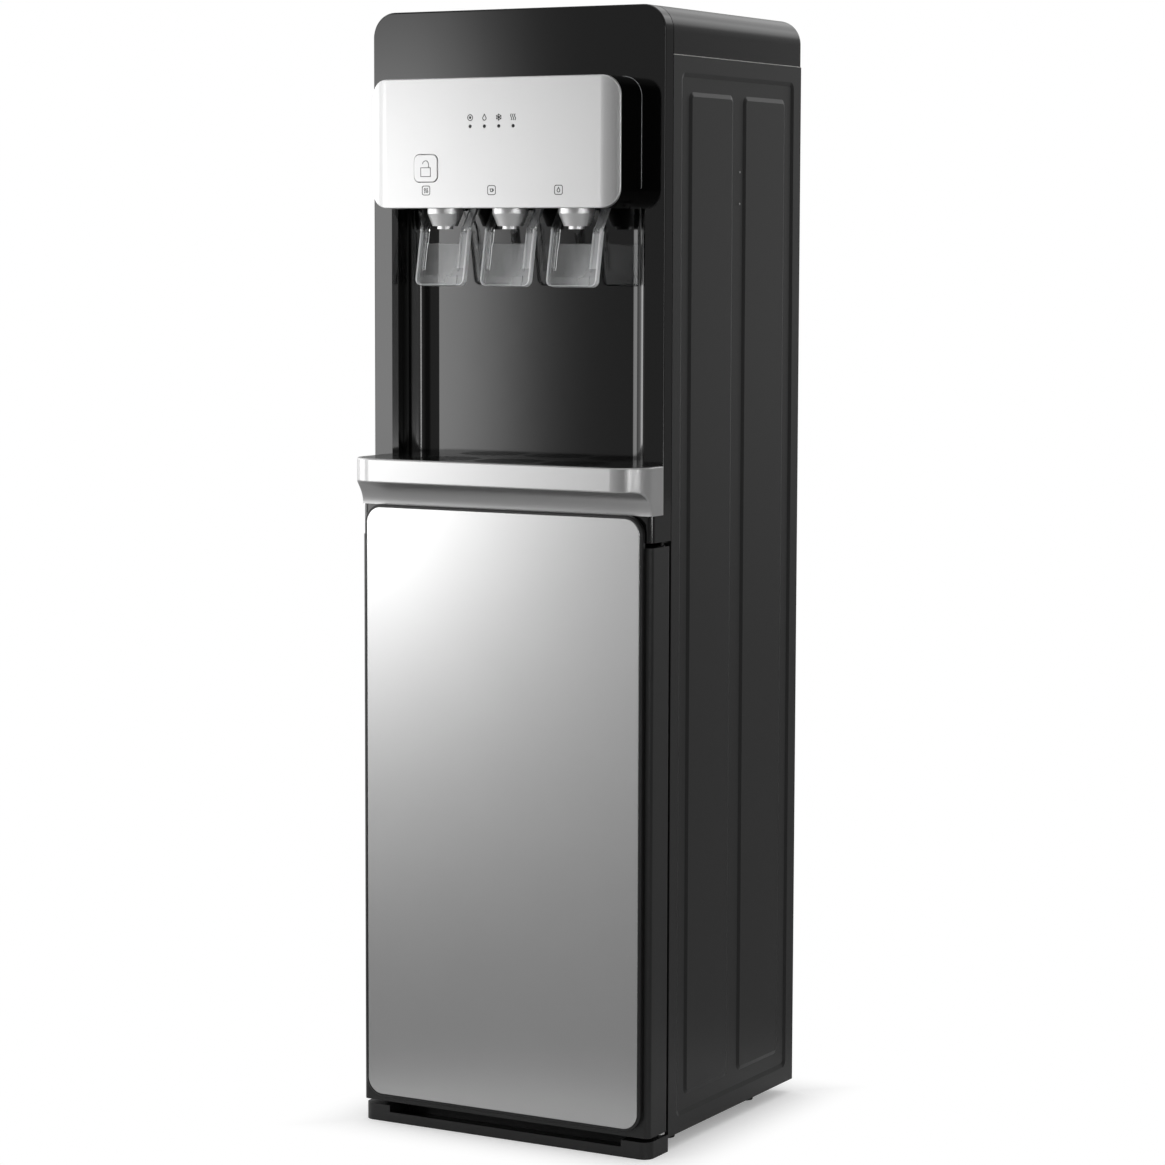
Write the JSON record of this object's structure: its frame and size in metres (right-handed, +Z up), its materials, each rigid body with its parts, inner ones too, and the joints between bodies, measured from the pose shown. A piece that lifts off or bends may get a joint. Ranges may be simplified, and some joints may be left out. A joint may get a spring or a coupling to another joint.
{
  "type": "water cooler",
  "caption": "Free-standing bottom-loading water cooler with a tall black cabinet, silver tap panel, clear cup levers, drip tray and a hinged bottle door",
  "frame": {"origin": "On the floor, under the middle of the whole outline", "axes": "+Z up, -Y the front with the taps and the door, +X the viewer's right"},
  "size_m": [0.31, 0.35, 1.05],
  "materials": {
    "charcoal_steel": "satin charcoal coat",
    "charcoal_cover": "satin charcoal",
    "bezel_black": "piano-black gloss",
    "niche_black": "piano-black gloss",
    "head_black": "piano-black gloss",
    "plate_silver": "satin silver paint",
    "tray_silver": "satin silver paint",
    "door_silver": "satin silver coat",
    "button_grey": "satin",
    "lamp_lens": "smooth lens",
    "nozzle_satin": "satin",
    "clear_lever": "clear",
    "tray_black": "gloss",
    "grille_black": "gloss",
    "door_black": "satin",
    "plinth_black": "satin",
    "base_black": "matt",
    "liner_grey": "satin",
    "zinc_steel": "bright zinc",
    "black_steel": "black paint",
    "stainless": "satin",
    "foam_white": "matt",
    "inner_plastic": "matt",
    "rubber_black": "matt",
    "hose_white": "smooth",
    "board_green": "solder mask",
    "switch_black": "gloss",
    "hot_rocker": "gloss",
    "cold_rocker": "gloss"
  },
  "bodies": {
    "cabinet": {"right_side_panel": "charcoal_steel", "left_side_panel": "charcoal_steel", "top_cover": "charcoal_cover", "front_bezel": "bezel_black", "niche_liner": "niche_black", "head_housing": "head_black", "faceplate": "plate_silver", "tray_surround": "tray_silver", "indicator_lamps": "lamp_lens", "tap_nozzle_left": "nozzle_satin", "tap_nozzle_middle": "nozzle_satin", "tap_nozzle_right": "nozzle_satin", "plinth": "plinth_black", "base_pan": "base_black", "rear_panel": "zinc_steel", "machine_shelf": "zinc_steel", "tank_bridge": "zinc_steel", "probe_hanger": "zinc_steel", "hot_tank_stand": "zinc_steel", "lever_pins": "zinc_steel", "rear_screws": "zinc_steel", "compressor": "black_steel", "condenser": "black_steel", "upper_hinge": "black_steel", "lower_hinge": "black_steel", "hot_tank": "stainless", "cold_tank": "stainless", "probe_tube": "stainless", "insulation_jacket": "foam_white", "tap_valves": "inner_plastic", "tap_carrier": "inner_plastic", "microswitches": "inner_plastic", "water_pump": "inner_plastic", "probe_cap": "inner_plastic", "condenser_clips": "inner_plastic", "catch_magnet": "inner_plastic", "feet": "rubber_black", "compressor_grommets": "rubber_black", "cord_gland": "rubber_black", "drain_caps": "rubber_black", "hot_hose": "hose_white", "cold_hoses": "hose_white", "supply_hose": "hose_white", "control_board": "board_green", "switch_box": "switch_black"},
    "door": {"door_frame": "door_black", "door_liner": "liner_grey", "door_slab": "door_black", "door_panel": "door_silver", "door_bushes": "inner_plastic", "strike_plate": "zinc_steel"},
    "left_lever": {"tap_lever_left": "clear_lever"},
    "middle_lever": {"tap_lever_middle": "clear_lever"},
    "right_lever": {"tap_lever_right": "clear_lever"},
    "lock_key": {"lock_button": "button_grey"},
    "tub": {"drip_tub": "tray_black"},
    "grille": {"drip_grille": "grille_black"},
    "hot_rocker_key": {"hot_switch": "hot_rocker"},
    "cold_rocker_key": {"cold_switch": "cold_rocker"}
  },
  "joints": [
    {"name": "door_hinge", "type": "hinge", "parent": "cabinet", "child": "door", "pos_m": [0.149, -0.1165, 0.2915], "axis": [0, 0, 1], "range_deg": [0, 100]},
    {"name": "left_lever_pivot", "type": "hinge", "parent": "cabinet", "child": "left_lever", "pos_m": [-0.07, -0.115, 0.876], "axis": [1, 0, 0], "range_deg": [0, 15], "stiffness_Nm_per_rad": 0.3, "springref_deg": -20.05},
    {"name": "middle_lever_pivot", "type": "hinge", "parent": "cabinet", "child": "middle_lever", "pos_m": [0, -0.115, 0.876], "axis": [1, 0, 0], "range_deg": [0, 15], "stiffness_Nm_per_rad": 0.3, "springref_deg": -20.05},
    {"name": "right_lever_pivot", "type": "hinge", "parent": "cabinet", "child": "right_lever", "pos_m": [0.07, -0.115, 0.876], "axis": [1, 0, 0], "range_deg": [0, 15], "stiffness_Nm_per_rad": 0.3, "springref_deg": -20.05},
    {"name": "lock_key_press", "type": "slide", "parent": "cabinet", "child": "lock_key", "axis": [0, 1, 0], "range_m": [0, 0.002], "stiffness_N_per_m": 800, "springref_m": -0.001},
    {"name": "tub_lift", "type": "slide", "parent": "cabinet", "child": "tub", "axis": [0, 0, 1], "range_m": [0, 0.06]},
    {"name": "grille_lift", "type": "slide", "parent": "tub", "child": "grille", "axis": [0, 0, 1], "range_m": [0, 0.04]},
    {"name": "hot_rocker_tip", "type": "hinge", "parent": "cabinet", "child": "hot_rocker_key", "pos_m": [-0.012, 0.147, 0.978], "axis": [1, 0, 0], "range_deg": [0, 16]},
    {"name": "cold_rocker_tip", "type": "hinge", "parent": "cabinet", "child": "cold_rocker_key", "pos_m": [0.012, 0.147, 0.978], "axis": [1, 0, 0], "range_deg": [0, 16]}
  ]
}
